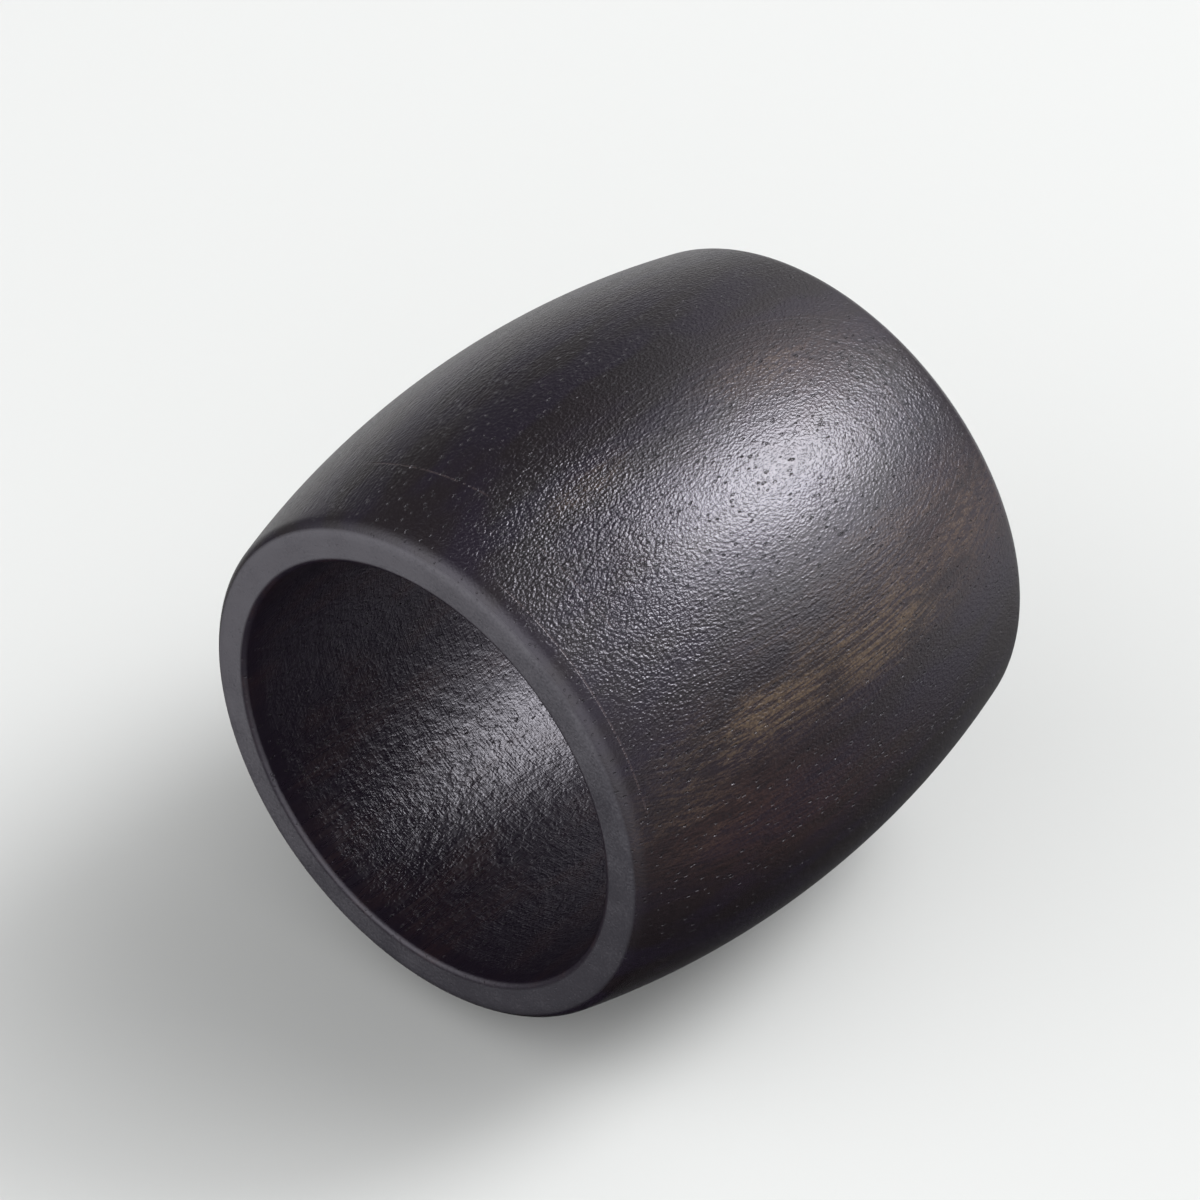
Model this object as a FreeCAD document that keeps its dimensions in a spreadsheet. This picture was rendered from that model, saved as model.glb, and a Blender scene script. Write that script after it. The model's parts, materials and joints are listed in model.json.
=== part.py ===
import FreeCAD, Part
import Sketcher
import math
import os

# Napkin ring, turned from one piece of wood, in millimetres.
# It stands on one end: the bore runs along +Z, and the origin is the centre of the end it stands on.

# The sizes that the turner sets, each one by itself
SIZES = [
    ("ring_length", 46.5, "over the two end faces"),
    ("bore_diameter", 37.0, "straight hole that the napkin goes through"),
    ("end_wall", 3.25, "wall at each end, before its edges are rounded"),
    ("belly_rise", 3.25, "how far the middle stands out beyond the ends, on the radius"),
    ("edge_rounding", 1.6, "radius where the belly turns into an end face"),
    ("lip_rounding", 0.5, "radius where the bore opens on an end face"),
]

# Sizes that follow from them; a rounding takes no more than its share of the wall it is cut in
DERIVED = [
    ("bore_radius", "=bore_diameter / 2"),
    ("end_radius", "=bore_radius + end_wall"),
    ("belly_radius", "=end_radius + belly_rise"),
    ("middle_height", "=ring_length / 2"),
    ("edge_fillet", "=min(edge_rounding; end_wall * 0.7)"),
    ("lip_fillet", "=min(lip_rounding; end_wall * 0.25)"),
]

START = 1  # the first point of a line or an arc
END = 2  # its last point
CENTRE = 3  # the middle of an arc
ORIGIN = (-1, START)  # the sketch's own origin
FOOT_LINE = -1  # the sketch's horizontal axis, where the ring stands


def fill_sheet(doc):
    """Puts the turner's sizes, and then the sizes that follow, into one sheet."""
    sheet = doc.addObject("Spreadsheet::Sheet", "Sizes")
    cells = [(name, str(value), note) for name, value, note in SIZES]
    cells += [(name, formula, "follows from the sizes above") for name, formula in DERIVED]
    for row, (name, content, note) in enumerate(cells, start=1):
        sheet.set(f"A{row}", name)
        sheet.set(f"B{row}", content)
        sheet.set(f"C{row}", note)
        sheet.setAlias(f"B{row}", name)
    doc.recompute()
    return sheet


def new_sketch(body, name, role):
    """Starts a sketch on one of the body's own origin planes."""
    plane = next(item for item in body.Origin.OriginFeatures if item.Role == role)
    sketch = body.newObject("Sketcher::SketchObject", name)
    sketch.AttachmentSupport = [(plane, "")]
    sketch.MapMode = "FlatFace"
    return sketch


def fix(sketch, kind, *points):
    """Adds one geometric constraint."""
    sketch.addConstraint(Sketcher.Constraint(kind, *points))


def dimension(sketch, alias, kind, *points):
    """Adds one dimension, bound to the size of that name in the sheet."""
    start_value = float(sketch.Document.Sizes.get(alias))
    index = sketch.addConstraint(Sketcher.Constraint(kind, *points, start_value))
    sketch.renameConstraint(index, alias)
    sketch.setExpression(f"Constraints.{alias}", f"Sizes.{alias}")


def on_circle(centre, radius, angle):
    """The point at an angle on a circle, from the sketch's first axis."""
    return centre + FreeCAD.Vector(radius * math.cos(angle), radius * math.sin(angle), 0)


def arc_between(centre, radius, first_angle, last_angle):
    """A round stretch of the outline, from one angle to the next."""
    middle_angle = (first_angle + last_angle) / 2
    return Part.Arc(
        on_circle(centre, radius, first_angle),
        on_circle(centre, radius, middle_angle),
        on_circle(centre, radius, last_angle),
    )


def wall_section(body, sheet):
    """The wall cut through the axis: the long arc of the belly, rounded into two flat ends and the bore."""
    length = float(sheet.ring_length)
    half = float(sheet.middle_height)
    bore = float(sheet.bore_radius)
    end = float(sheet.end_radius)
    widest = float(sheet.belly_radius)
    edge = float(sheet.edge_fillet)
    lip = float(sheet.lip_fillet)

    # The belly is the arc through both end corners and the widest point
    rise = widest - end
    belly_arc = (half * half + rise * rise) / (2 * rise)
    belly_centre = FreeCAD.Vector(widest - belly_arc, half, 0)

    # An edge's arc touches the end face and lies inside the belly's arc
    edge_reach = math.sqrt((belly_arc - edge) ** 2 - (half - edge) ** 2)
    edge_centre_x = belly_centre.x + edge_reach
    lean = math.atan2(half - edge, edge_reach)

    foot_edge_centre = FreeCAD.Vector(edge_centre_x, edge, 0)
    top_edge_centre = FreeCAD.Vector(edge_centre_x, length - edge, 0)
    foot_lip_centre = FreeCAD.Vector(bore + lip, lip, 0)
    top_lip_centre = FreeCAD.Vector(bore + lip, length - lip, 0)
    quarter = math.pi / 2
    foot_flat = [FreeCAD.Vector(bore + lip, 0, 0), FreeCAD.Vector(edge_centre_x, 0, 0)]
    top_flat = [FreeCAD.Vector(edge_centre_x, length, 0), FreeCAD.Vector(bore + lip, length, 0)]
    bore_wall = [FreeCAD.Vector(bore, length - lip, 0), FreeCAD.Vector(bore, lip, 0)]

    sketch = new_sketch(body, "WallSection", "XZ_Plane")
    foot_face = sketch.addGeometry(Part.LineSegment(*foot_flat), False)
    foot_edge = sketch.addGeometry(arc_between(foot_edge_centre, edge, -quarter, -lean), False)
    belly = sketch.addGeometry(arc_between(belly_centre, belly_arc, -lean, lean), False)
    top_edge = sketch.addGeometry(arc_between(top_edge_centre, edge, lean, quarter), False)
    top_face = sketch.addGeometry(Part.LineSegment(*top_flat), False)
    top_lip = sketch.addGeometry(arc_between(top_lip_centre, lip, quarter, 2 * quarter), False)
    bore_line = sketch.addGeometry(Part.LineSegment(*bore_wall), False)
    foot_lip = sketch.addGeometry(arc_between(foot_lip_centre, lip, 2 * quarter, 3 * quarter), False)
    crown = sketch.addGeometry(Part.Point(FreeCAD.Vector(widest, half, 0)), True)
    corner = sketch.addGeometry(Part.Point(FreeCAD.Vector(end, 0, 0)), True)

    # Each stretch runs smoothly into the next, all the way round
    outline = [foot_face, foot_edge, belly, top_edge, top_face, top_lip, bore_line, foot_lip]
    for stretch, following in zip(outline, outline[1:] + outline[:1]):
        fix(sketch, "Tangent", stretch, END, following, START)
    fix(sketch, "Horizontal", foot_face)
    fix(sketch, "Horizontal", top_face)
    fix(sketch, "Vertical", bore_line)
    fix(sketch, "PointOnObject", foot_face, START, FOOT_LINE)
    dimension(sketch, "ring_length", "DistanceY", *ORIGIN, top_face, START)
    dimension(sketch, "bore_radius", "DistanceX", *ORIGIN, bore_line, START)

    # The belly passes through its widest point, at mid length, and aims at the end corner
    fix(sketch, "PointOnObject", crown, START, belly)
    fix(sketch, "Horizontal", belly, CENTRE, crown, START)
    dimension(sketch, "belly_radius", "DistanceX", *ORIGIN, crown, START)
    dimension(sketch, "middle_height", "DistanceY", *ORIGIN, crown, START)
    fix(sketch, "PointOnObject", corner, START, FOOT_LINE)
    fix(sketch, "PointOnObject", corner, START, belly)
    dimension(sketch, "end_radius", "DistanceX", *ORIGIN, corner, START)

    # Both ends are eased alike
    dimension(sketch, "edge_fillet", "Radius", foot_edge)
    fix(sketch, "Equal", foot_edge, top_edge)
    dimension(sketch, "lip_fillet", "Radius", foot_lip)
    fix(sketch, "Equal", foot_lip, top_lip)
    return sketch


def turn_ring(doc, sheet):
    """The whole ring, as the lathe turns it: the section carried once round the axis."""
    body = doc.addObject("PartDesign::Body", "turned_ring")
    body.Label = "turned_ring"
    body.Placement = FreeCAD.Placement()
    section = wall_section(body, sheet)
    doc.recompute()

    turned = body.newObject("PartDesign::Revolution", "Turned")
    turned.Profile = section
    turned.ReferenceAxis = (section, ["V_Axis"])
    turned.Angle = 360
    body.Tip = turned
    doc.recompute()
    return body, section


def check(doc, body, section):
    """Stops if a feature failed, or if a size is left loose."""
    for item in doc.Objects:
        if "Invalid" in item.State or "Error" in item.State:
            raise RuntimeError(f"{item.Name} failed: {item.State}")
    if not section.FullyConstrained:
        raise RuntimeError("the wall's section isn't fixed by its sizes")
    if body.Shape.isNull() or not body.Shape.isValid() or len(body.Shape.Solids) != 1:
        raise RuntimeError(f"{body.Label} is not one sound solid")


def main():
    doc = FreeCAD.newDocument("NapkinRing")
    sheet = fill_sheet(doc)
    body, section = turn_ring(doc, sheet)
    check(doc, body, section)

    os.makedirs("parts", exist_ok=True)
    body.Shape.exportStep(f"parts/{body.Label}.step")
    box = body.Shape.BoundBox
    print(f"{body.Label}: {box.XLength:.2f} x {box.YLength:.2f} x {box.ZLength:.2f} mm,"
          f" {body.Shape.Volume / 1000:.2f} cubic centimetres, {len(body.Shape.Faces)} faces")


main()
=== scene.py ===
import json
from math import radians, cos, sin, atan2, sqrt, pi

import bpy
import numpy as np
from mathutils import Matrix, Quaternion, Vector


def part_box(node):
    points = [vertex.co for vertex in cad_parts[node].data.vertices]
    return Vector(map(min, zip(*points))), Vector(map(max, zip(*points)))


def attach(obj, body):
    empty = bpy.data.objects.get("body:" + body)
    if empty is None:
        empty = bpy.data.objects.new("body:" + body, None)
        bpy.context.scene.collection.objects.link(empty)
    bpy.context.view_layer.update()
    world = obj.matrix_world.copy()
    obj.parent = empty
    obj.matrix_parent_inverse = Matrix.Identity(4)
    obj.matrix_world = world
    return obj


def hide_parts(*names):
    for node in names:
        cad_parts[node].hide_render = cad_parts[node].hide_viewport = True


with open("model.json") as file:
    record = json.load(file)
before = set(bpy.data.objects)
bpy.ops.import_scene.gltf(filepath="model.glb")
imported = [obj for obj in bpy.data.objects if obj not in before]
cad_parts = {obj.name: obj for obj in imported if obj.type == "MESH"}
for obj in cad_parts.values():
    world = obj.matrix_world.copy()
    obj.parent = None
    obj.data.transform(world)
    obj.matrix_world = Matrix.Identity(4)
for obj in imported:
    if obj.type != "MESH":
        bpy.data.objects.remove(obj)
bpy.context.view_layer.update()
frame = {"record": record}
print("frame loaded")

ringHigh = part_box("turned_ring")[1]
bore = next(mount for mount in frame["record"]["mounts"] if mount["name"] == "napkin_bore")

# The ring's sizes in metres: what the frame holds is read from it, the rest repeats the part's source
ring = dict(
    length=ringHigh.z,
    bellyRadius=ringHigh.y,
    boreRadius=bore["dims"]["r_mm"] / 1000,
    lipRounding=(ringHigh.z - bore["dims"]["length_mm"] / 1000) / 2,
    endWall=0.00325,
    edgeRounding=0.0016,
    stepsRound=580,  # points round the ring, and then along each stretch of the wall's outline
    stepsBelly=84, stepsEdge=12, stepsFace=5, stepsLip=7, stepsBore=38,
)

view = dict(
    photoSize=1200,  # pixels
    ringAt=(620.7, 629.3),  # where the middle of the ring falls in the photograph
    pixelsPerMetre=12793.2,  # at the ring's distance
    distance=0.668,
    azimuth=38.5, elevation=-35.5, roll=53.8,  # degrees
    sensorWidth=36.0,  # mm
    nearest=0.05, farthest=20,
)

stage = dict(
    half=1.5,  # half the side of the floor and of the backdrop
    gap=0.00005,  # they stand this far off the ring
    floorColour=(0.618, 0.626, 0.621),
    farFloorColour=(0.83, 0.84, 0.835),  # behind the backdrop, paler: painted light in place of the bounce from the backdrop, which lights nothing there
)

# Directions here are azimuth from the front towards +X, and elevation, in degrees, seen from the ring
light = dict(
    keyAzimuth=26.7, keyElevation=41.5,
    keyDistance=1.2, keyRadius=0.255,
    keyPower=6.05,
    glows=[  # azimuth, elevation, width and brightness of the studio's soft bright parts
        (23.8, 26.5, 11, 5.8),  # below the key lamp
        (24.3, 42.8, 12, 1.4),  # round it
        (4.4, 47.9, 13, 1.4),  # left of it
        (56.1, 40.7, 12, 2.7),  # right of it
        (-37.6, 57.8, 14, 0.58),  # high on the left
        (-107.9, 32.6, 18, 0.6),  # three behind the backdrop, which the lacquer reflects: on the left
        (-144.4, 71.4, 15, 0.72),  # overhead
        (119.0, 57.7, 15, 0.64),  # on the right
        (-40.0, -49.3, 25, 1.8),  # three from below, on the camera's side: on the left
        (44.6, -61.3, 25, 0.9),  # in the middle
        (72.1, -32.6, 30, 0.9),  # on the right
    ],
    background=(0.86, 0.87, 0.865),
)


class Wire:
    # One socket of a node tree; + - * on it add Math nodes
    def __init__(self, graph, socket):
        self.graph = graph
        self.socket = socket

    def __add__(self, other):
        return self.graph.maths("ADD", self, other)

    def __sub__(self, other):
        return self.graph.maths("SUBTRACT", self, other)

    def __mul__(self, other):
        return self.graph.maths("MULTIPLY", self, other)

    def __radd__(self, other):
        return self.graph.maths("ADD", other, self)

    def __rsub__(self, other):
        return self.graph.maths("SUBTRACT", other, self)

    def __rmul__(self, other):
        return self.graph.maths("MULTIPLY", other, self)


class Node:
    # One node; its outputs are read by name or number
    def __init__(self, graph, node):
        self.graph = graph
        self.node = node

    def __getitem__(self, output):
        return Wire(self.graph, self.node.outputs[output])


class Graph:
    def __init__(self, tree):
        self.tree = tree
        tree.nodes.clear()

    def add(self, kind, settings=None, inputs=None):
        # Settings first, such as an operation, then values or links for the sockets
        node = self.tree.nodes.new(kind)
        for name, value in (settings or {}).items():
            setattr(node, name, value)
        for name, value in (inputs or {}).items():
            socket = node.inputs[name]
            if isinstance(value, Wire):
                self.tree.links.new(value.socket, socket)
            elif socket.type == "RGBA":
                socket.default_value = (*value, 1.0)
            else:
                socket.default_value = value
        return Node(self, node)

    def maths(self, operation, *operands):
        return self.add("ShaderNodeMath", {"operation": operation}, dict(enumerate(operands)))["Value"]

    def attribute(self, name):
        return self.add("ShaderNodeAttribute", {"attribute_name": name})["Fac"]

    def stretch(self, vector, factors):
        settings = {"operation": "MULTIPLY"}
        return self.add("ShaderNodeVectorMath", settings, {0: vector, 1: factors})["Vector"]

    def dot(self, vector, direction):
        settings = {"operation": "DOT_PRODUCT"}
        return self.add("ShaderNodeVectorMath", settings, {0: vector, 1: direction})["Value"]

    def length(self, vector):
        return self.add("ShaderNodeVectorMath", {"operation": "LENGTH"}, {0: vector})["Value"]

    def noise(self, vector, grains, detail=1.0, roughness=0.5):
        # So many grains to the millimetre along X, Y and Z
        return self.add("ShaderNodeTexNoise", None, {
            "Vector": self.stretch(vector, grains), "Scale": 1.0, "Detail": detail, "Roughness": roughness,
        })["Fac"]

    def step(self, value, low, high):
        # 0 below low, 1 above high, smooth between
        return self.add("ShaderNodeMapRange", {"interpolation_type": "SMOOTHSTEP"}, {
            "Value": value, "From Min": low, "From Max": high,
        })["Result"]

    def blend(self, factor, first, second):
        # Mixes two colours
        return self.add("ShaderNodeMix", {"data_type": "RGBA"}, {0: factor, 6: first, 7: second})[2]


def arcPoints(centreRadius, centreHeight, radius, fromAngle, toAngle, steps):
    # Centre plus radius times the cosine and sine of an angle that runs evenly; the last point is left out
    angle = fromAngle + (toAngle - fromAngle) * np.arange(steps) / steps
    return np.column_stack([centreRadius + radius * np.cos(angle), centreHeight + radius * np.sin(angle)])


def linePoints(start, end, steps):
    share = (np.arange(steps) / steps)[:, None]
    return np.array(start) * (1 - share) + np.array(end) * share


def wallSection(s):
    # Closed outline of the wall as (radius, height): the belly is the arc through both end corners and the
    # widest point, and each edge arc touches the end face and lies inside the belly's arc
    half = s["length"] / 2
    endRadius = s["boreRadius"] + s["endWall"]
    rise = s["bellyRadius"] - endRadius
    bellyArc = (half ** 2 + rise ** 2) / (2 * rise)
    bellyCentre = s["bellyRadius"] - bellyArc
    edge, lip, length = s["edgeRounding"], s["lipRounding"], s["length"]
    reach = sqrt((bellyArc - edge) ** 2 - (half - edge) ** 2)
    edgeCentre = bellyCentre + reach
    lean = atan2(half - edge, reach)
    lipCentre = s["boreRadius"] + lip
    return np.vstack([
        linePoints((lipCentre, 0), (edgeCentre, 0), s["stepsFace"]),
        arcPoints(edgeCentre, edge, edge, -pi / 2, -lean, s["stepsEdge"]),
        arcPoints(bellyCentre, half, bellyArc, -lean, lean, s["stepsBelly"]),
        arcPoints(edgeCentre, length - edge, edge, lean, pi / 2, s["stepsEdge"]),
        linePoints((edgeCentre, length), (lipCentre, length), s["stepsFace"]),
        arcPoints(lipCentre, length - lip, lip, pi / 2, pi, s["stepsLip"]),
        linePoints((s["boreRadius"], length - lip), (s["boreRadius"], lip), s["stepsBore"]),
        arcPoints(lipCentre, lip, lip, pi, 1.5 * pi, s["stepsLip"]),
    ])


def softSpots(angle, height, spotList):
    # The sum over the spots of strength times e to minus the squared distances in angle and in height
    total = np.zeros(np.broadcast(angle, height).shape)
    for middle, level, halfAngle, halfLength, strength in spotList:
        turn = (1 - np.cos(angle - radians(middle))) * 2 / radians(halfAngle) ** 2
        total += strength * np.exp(-turn - ((height - level) / halfLength) ** 2)
    return total


def turnedRing(s, finish):
    # Each point of the section at each angle: (radius cos, radius sin, height)
    section = wallSection(s)
    angle = 2 * pi * np.arange(s["stepsRound"])[:, None] / s["stepsRound"]
    points = np.empty((s["stepsRound"], len(section), 3))
    points[:, :, 0] = np.cos(angle) * section[:, 0]
    points[:, :, 1] = np.sin(angle) * section[:, 0]
    points[:, :, 2] = section[:, 1]

    # Four-sided faces; the last row and the last column join the first
    rowStart = np.arange(s["stepsRound"])[:, None] * len(section)
    column = np.arange(len(section))
    nextStart, nextColumn = np.roll(rowStart, -1), np.roll(column, -1)
    corners = [rowStart + column, nextStart + column, nextStart + nextColumn, rowStart + nextColumn]
    faces = np.stack(corners, axis=-1).reshape(-1, 4)

    mesh = bpy.data.meshes.new("turnedRing")
    mesh.from_pydata(points.reshape(-1, 3).tolist(), [], faces.tolist())
    mesh.shade_smooth()
    height = section[:, 1] * 1000
    for name in ("gold", "russet", "sanded", "coarse"):
        strength = softSpots(angle, height, finish[name + "Spots"])
        layer = mesh.attributes.new(name, "FLOAT", "POINT")
        layer.data.foreach_set("value", strength.ravel().astype(np.float32))
    mesh.update()
    piece = bpy.data.objects.new("turnedRing", mesh)
    bpy.context.scene.collection.objects.link(piece)
    return piece


# The stained wood. Spots on the wall are (angle in degrees, height in mm, half width in degrees,
# half length in mm, strength); the angle runs from +X towards +Y.
wood = dict(
    espresso=(0.0095, 0.0066, 0.0080),
    plum=(0.0098, 0.0068, 0.0128),
    gold=(0.080, 0.054, 0.033),
    russet=(0.036, 0.017, 0.015),
    bore=(0.0105, 0.0070, 0.0130),
    pore=(0.004, 0.003, 0.004),
    facePale=(0.086, 0.082, 0.093),  # the sanded end grain takes the stain greyer; this colour is also painted lighter, as painted light on the end face's lit side
    # the end face's grey, darkened by painted shade on the side opposite the lit one
    faceDark=(0.024, 0.022, 0.028),
    facePaleAngle=-135,  # its side painted lighter as if lit, in degrees; the opposite side is painted shade
    goldSpots=[  # where the stain is thin
        (-24, 15, 6, 8, 1.25), (-22, 28, 6, 7, 1.25), (-34, 27, 8, 12, 0.5),
        (-13, 5, 8, 5, 0.5), (-30, 40, 8, 5, 0.5), (-76, 13, 3, 4, 0.6),
        (-75, 33, 5, 6, 0.5), (96, 16, 12, 12, 0.8), (190, 32, 9, 12, 0.7),
    ],
    russetSpots=[
        (-8, 10, 8, 9, 0.7), (3, 18, 8, 12, 0.5), (-30, 40, 10, 7, 0.6),
        (-70, 36, 12, 8, 0.5), (110, 24, 16, 12, 0.7), (205, 20, 12, 14, 0.6),
    ],
    sandedSpots=[  # where sanding marks run round the wall
        (-60, 41, 16, 1.8, 1.0), (-66, 6, 12, 0.8, 0.8),
        (-105, 42, 14, 2.5, 0.6), (60, 9, 40, 3, 0.6),
    ],
    coarseSpots=[  # where the grain stands up most
        (-75, 9, 14, 6.5, 2.7), (-53, 7, 16, 5, 2.3), (-34, 9, 12, 6, 0.8),
        (120, 8, 35, 9, 1.5), (190, 36, 30, 9, 1.2),
    ],
    scratches=[  # height in mm, angles in degrees between which it runs, climb in mm per radian
        (7.1, -123, -87, 0.6), (6.2, -75, -52, -0.4), (1.9, -75, -15, 0.0), (40.6, -69, -44, 0.3),
    ],
    growthAngle=-58,  # the growth layers face this way, and their lines close into long ovals here
    ior=1.60, sheen=(0.925, 0.900, 1.0),  # the lacquer shines slightly lilac
    wallRoughness=0.23, boreRoughness=0.32, faceRoughness=0.55,
    fibreRoughness=0.15, coarseShine=0.045,  # rougher along the fibres, smoother where the grain stands up
    # Relief in mm
    peel=0.050, creases=0.012, grit=0.005, ridges=0.030, fibres=0.008,
    poreDepth=0.090, scratchDepth=0.030, dents=0.085, turning=0.020,
    smoothedEnds=0.65,  # the share of it that is lost round the edges and on the end faces
    # Grains to the millimetre along X, Y and Z
    wobbleGrains=(0.10, 0.10, 0.05), layerGrains=(7.0, 0.08, 1.0), fibreGrains=(3.8, 3.8, 0.18),
    gritGrains=(7.0, 7.0, 5.2), peelGrains=(5.0, 5.0, 3.4), cloudGrains=(0.34, 0.34, 0.11),
    dentGrains=(1.0, 1.0, 0.8), turningGrains=(0.35, 0.35, 7.0), poreGrains=(1.8, 1.8, 0.8),
)


def across(angle):
    # The direction straight out of the wall at that angle, in degrees from +X
    return (cos(radians(angle)), sin(radians(angle)), 0)


def stainedWood():
    s = wood
    material = bpy.data.materials.new("espressoStainedWood")
    material.use_nodes = True
    g = Graph(material.node_tree)
    place = g.stretch(g.add("ShaderNodeTexCoord")["Object"], (1000, 1000, 1000))  # millimetres
    parted = g.add("ShaderNodeSeparateXYZ", None, {0: place})
    height = parted["Z"]
    angle = g.maths("ARCTAN2", parted["Y"], parted["X"])
    radius = g.length(g.stretch(place, (1, 1, 0)))
    fromEnd = g.maths("MINIMUM", height, ring["length"] * 1000 - height)
    mouth = (ring["boreRadius"] + ring["lipRounding"]) * 1000  # where the lip meets the end face
    inBore = g.step(radius, mouth + 0.1, mouth - 0.2)
    onFace = g.step(fromEnd, 0.34, 0.14) * g.step(radius, mouth - 0.2, mouth + 0.1)
    onWall = (1 - inBore) * (1 - onFace)

    # Growth layers, cut by the belly: the same noise everywhere at one depth, drawn out along the ring
    wobble = g.noise(place, s["wobbleGrains"], 0.0)
    depth = g.dot(place, across(s["growthAngle"])) + wobble * 2
    layerPlace = g.add("ShaderNodeCombineXYZ", None, {"X": depth, "Y": height, "Z": 0.0})["Vector"]
    layers = g.noise(layerPlace, s["layerGrains"], 1.0, 0.6)

    fibres = g.noise(place, s["fibreGrains"], 1.0, 0.65)
    grit = g.noise(place, s["gritGrains"])
    peel = g.noise(place, s["peelGrains"])
    creases = g.maths("ABSOLUTE", peel - 0.5)
    cloud = g.noise(place, s["cloudGrains"], 1.0, 0.6)

    # Open pores, where the middle of a cell comes near the surface; the grit makes their outline crooked
    porePlace = g.stretch(place, s["poreGrains"])
    cell = g.add("ShaderNodeTexVoronoi", None, {"Vector": porePlace, "Scale": 1.0})["Distance"]
    pores = g.step(cell + grit * 0.3, 0.35, 0.24)

    # A few long scratches run round the wall, each within its own range of angles
    scratched = 0.0
    for level, start, end, climb in s["scratches"]:
        along = angle - radians((start + end) / 2)
        aside = g.maths("ABSOLUTE", height - along * climb - level)
        reach = radians(end - start)
        within = g.step(g.maths("ABSOLUTE", along), reach * 0.5, reach * 0.4)
        scratched = scratched + g.step(aside, 0.09, 0.02) * within
    scratched = scratched * g.step(fibres, 0.35, 0.5) * onWall

    # Colour
    streaks = g.step(fibres * 0.6 + layers * 0.4, 0.42, 0.58)
    mottle = g.step(grit * 0.5 + peel * 0.5, 0.40, 0.60)
    colour = g.blend(g.step(cloud, 0.35, 0.65), s["espresso"], s["plum"])
    colour = g.blend(inBore, colour, s["bore"])
    inside = inBore * g.step(cloud, 0.45, 0.65) * 0.35
    russet = (g.attribute("russet") * onWall + inside) * (0.1 + streaks * 0.6 + mottle * 0.4)
    colour = g.blend(russet, colour, s["russet"])
    gold = g.attribute("gold") * (0.22 + streaks * 0.78) * (0.4 + mottle * 0.6)
    gold = gold * g.step(cloud, 0.3, 0.55) * onWall
    colour = g.blend(gold, colour, s["gold"])
    colour = g.blend(scratched * 0.5, colour, s["russet"])
    # Painted light and shade on the end faces: lighter towards one side as if lit, darker towards the other
    # as in shade
    paintedLitSide = g.dot(place, across(s["facePaleAngle"])) + (peel + fibres + cloud - 1.5) * 30
    faceColour = g.blend(g.step(paintedLitSide, -24, 24), s["faceDark"], s["facePale"])
    colour = g.blend(onFace, colour, faceColour)
    colour = g.blend(pores * 0.6 * (1 - onFace), colour, s["pore"])

    # Relief, in millimetres
    dents = g.noise(place, s["dentGrains"], 1.0, 0.6)
    turning = g.noise(place, s["turningGrains"], 1.0, 0.7)
    relief = (peel * s["peel"] + creases * s["creases"]) * (1 + g.attribute("coarse") * onWall)
    relief = relief + grit * s["grit"] + layers * s["ridges"]
    relief = relief + fibres * s["fibres"] - pores * s["poreDepth"] - scratched * s["scratchDepth"]
    relief = relief + turning * (g.attribute("sanded") * onWall + inBore) * s["turning"]
    relief = relief + inBore * (dents * s["dents"] + creases * s["creases"])
    relief = relief * (1 - g.step(fromEnd, 2.2, 0.6) * s["smoothedEnds"])
    bump = g.add("ShaderNodeBump", None, {"Strength": 1.0, "Distance": 0.001, "Height": relief})["Normal"]

    rough = s["wallRoughness"] + inBore * (s["boreRoughness"] - s["wallRoughness"])
    rough = rough + onFace * (s["faceRoughness"] - s["wallRoughness"])
    rough = rough + (fibres - 0.5) * s["fibreRoughness"] - g.attribute("coarse") * s["coarseShine"]
    shader = g.add("ShaderNodeBsdfPrincipled", None, {
        "Base Color": colour, "Roughness": rough, "Normal": bump,
        "IOR": s["ior"], "Specular Tint": s["sheen"],
    })["BSDF"]
    g.add("ShaderNodeOutputMaterial", None, {"Surface": shader})
    return material


def paleSheet(name, colour):
    # Pale paper that shows from its front only, so that no sheet hides the ring from behind
    material = bpy.data.materials.new(name)
    material.use_nodes = True
    g = Graph(material.node_tree)
    back = g.add("ShaderNodeNewGeometry")["Backfacing"]
    paper = g.add("ShaderNodeBsdfDiffuse", None, {"Color": colour})["BSDF"]
    clear = g.add("ShaderNodeBsdfTransparent")["BSDF"]
    shader = g.add("ShaderNodeMixShader", None, {0: back, 1: paper, 2: clear})["Shader"]
    g.add("ShaderNodeOutputMaterial", None, {"Surface": shader})
    return material


def sheet(name, corner, side, otherSide, material):
    # From one corner along two sides; seen from its front, the turn from side to otherSide is anticlockwise
    corner, side, otherSide = Vector(corner), Vector(side), Vector(otherSide)
    corners = [corner, corner + side, corner + side + otherSide, corner + otherSide]
    mesh = bpy.data.meshes.new(name)
    mesh.from_pydata(corners, [], [(0, 1, 2, 3)])
    mesh.materials.append(material)
    piece = bpy.data.objects.new(name, mesh)
    bpy.context.scene.collection.objects.link(piece)
    piece.visible_diffuse = name == "backdrop"  # only the photograph's table lights the ring
    piece.visible_glossy = False
    piece.visible_shadow = False


def addStage():
    half, gap = stage["half"], stage["gap"]
    wall = ringHigh.y + gap
    paper = paleSheet("palePaper", stage["floorColour"])
    # The floor behind the backdrop gets a paler copy of the paper: painted light in place of the backdrop's
    # bounce, which does not reach there
    paperWithPaintedLight = paleSheet("paperWithPaintedLight", stage["farFloorColour"])
    width = (2 * half, 0, 0)
    sheet("backdrop", (-half, wall, -half), width, (0, 0, 2 * half), paper)
    sheet("floor", (-half, -half, -gap), width, (0, wall + half, 0), paper)
    sheet("farFloor", (-half, wall, -gap), width, (0, half - wall, 0), paperWithPaintedLight)


def towards(azimuth, elevation):
    # The direction from the ring to something at that azimuth, from the front, and elevation
    a, e = radians(azimuth), radians(elevation)
    return Vector((sin(a) * cos(e), -cos(a) * cos(e), sin(e)))


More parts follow.
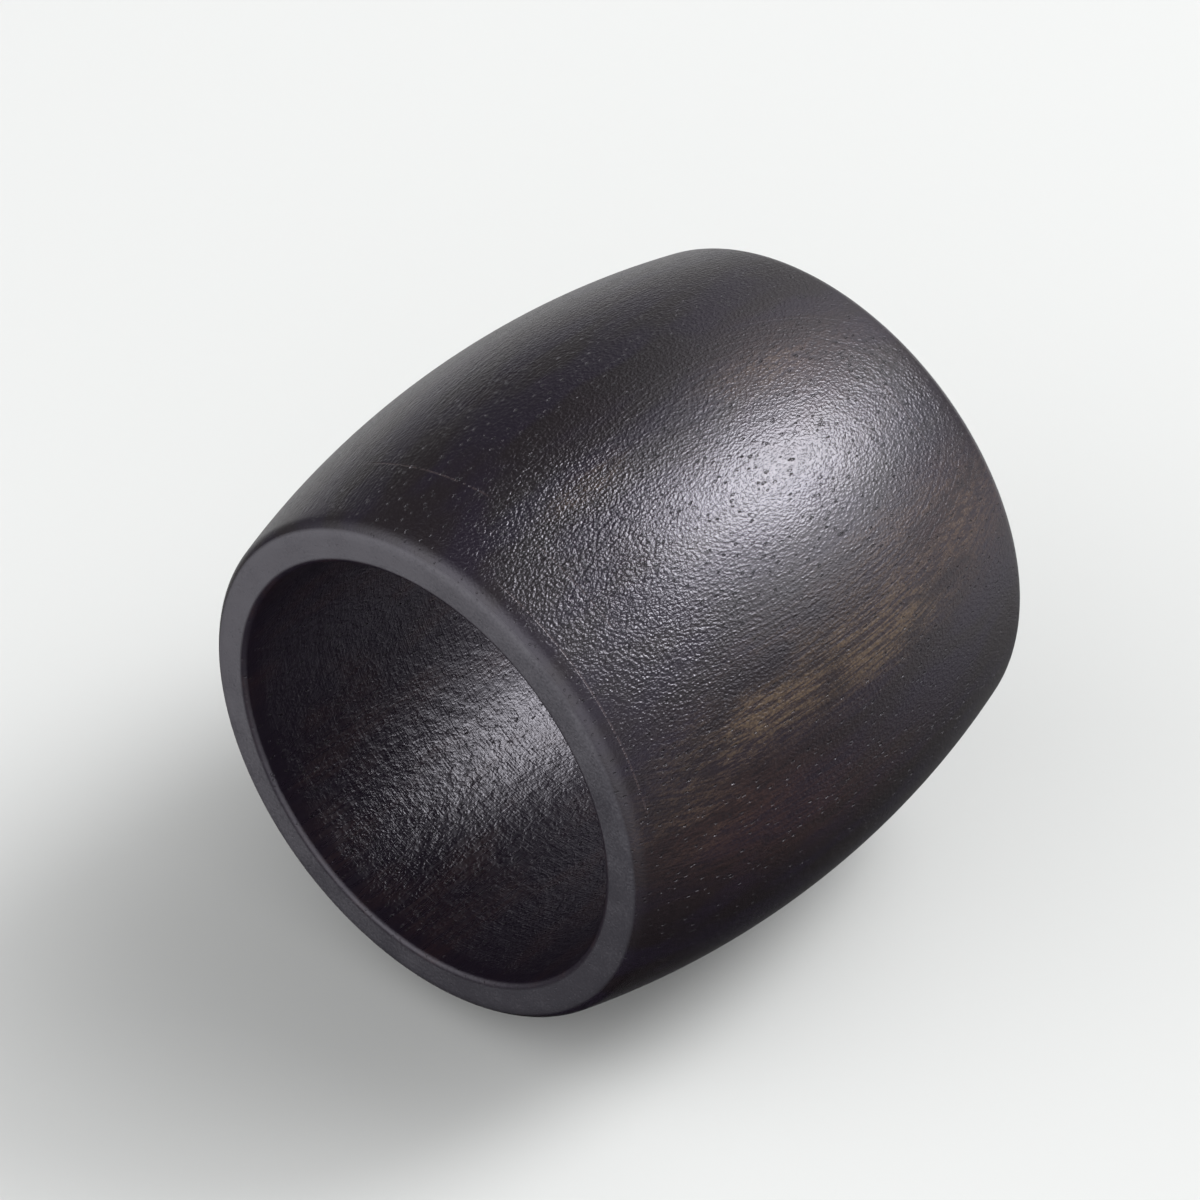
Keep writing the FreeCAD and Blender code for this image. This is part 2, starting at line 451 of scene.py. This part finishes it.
def addCamera():
    back = towards(view["azimuth"], view["elevation"])
    roll = Quaternion((0, 0, 1), radians(view["roll"]))
    turn = (-back).to_track_quat("-Z", "Y") @ roll
    right, up = turn @ Vector((1, 0, 0)), turn @ Vector((0, 1, 0))
    middle = view["photoSize"] / 2
    sideways = (view["ringAt"][0] - middle) / view["pixelsPerMetre"]
    upwards = (middle - view["ringAt"][1]) / view["pixelsPerMetre"]
    centre = Vector((0, 0, ring["length"] / 2))

    data = bpy.data.cameras.new("camera")
    data.sensor_width = view["sensorWidth"]
    data.lens = view["sensorWidth"] * view["distance"] * view["pixelsPerMetre"] / view["photoSize"]
    data.clip_start, data.clip_end = view["nearest"], view["farthest"]
    camera = bpy.data.objects.new("camera", data)
    camera.location = centre + back * view["distance"] - right * sideways - up * upwards
    camera.rotation_mode = "QUATERNION"
    camera.rotation_quaternion = turn
    bpy.context.scene.collection.objects.link(camera)
    bpy.context.scene.camera = camera


def addLights():
    direction = towards(light["keyAzimuth"], light["keyElevation"])
    data = bpy.data.lights.new("key", "AREA")
    data.shape = "DISK"
    data.size = 2 * light["keyRadius"]
    data.energy = light["keyPower"]
    key = bpy.data.objects.new("key", data)
    key.location = Vector((0, 0, ring["length"] / 2)) + direction * light["keyDistance"]
    key.rotation_mode = "QUATERNION"
    key.rotation_quaternion = direction.to_track_quat("Z", "Y")
    bpy.context.scene.collection.objects.link(key)

    world = bpy.data.worlds.new("studio")
    world.use_nodes = True
    bpy.context.scene.world = world
    g = Graph(world.node_tree)
    way = g.add("ShaderNodeTexCoord")["Generated"]
    strength = 0.0
    for azimuth, elevation, width, brightness in light["glows"]:
        # e to the power of (cosine of the angle from its middle - 1) / width squared
        away = (g.dot(way, towards(azimuth, elevation)) - 1) * (1 / radians(width) ** 2)
        strength = strength + g.maths("EXPONENT", away) * brightness
    studio = g.add("ShaderNodeBackground", None, {"Color": (1, 1, 1), "Strength": strength})["Background"]
    pale = g.add("ShaderNodeBackground", None, {"Color": light["background"]})["Background"]
    seen = g.add("ShaderNodeLightPath")["Is Camera Ray"]
    surface = g.add("ShaderNodeMixShader", None, {0: seen, 1: studio, 2: pale})["Shader"]
    g.add("ShaderNodeOutputWorld", None, {"Surface": surface})


napkinRing = turnedRing(ring, wood)
napkinRing.data.materials.append(stainedWood())
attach(napkinRing, "root")
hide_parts("turned_ring")
print("ring turned")

addStage()
addCamera()
addLights()
bpy.context.scene.view_settings.view_transform = "Standard"
print("stage, camera and lights set")
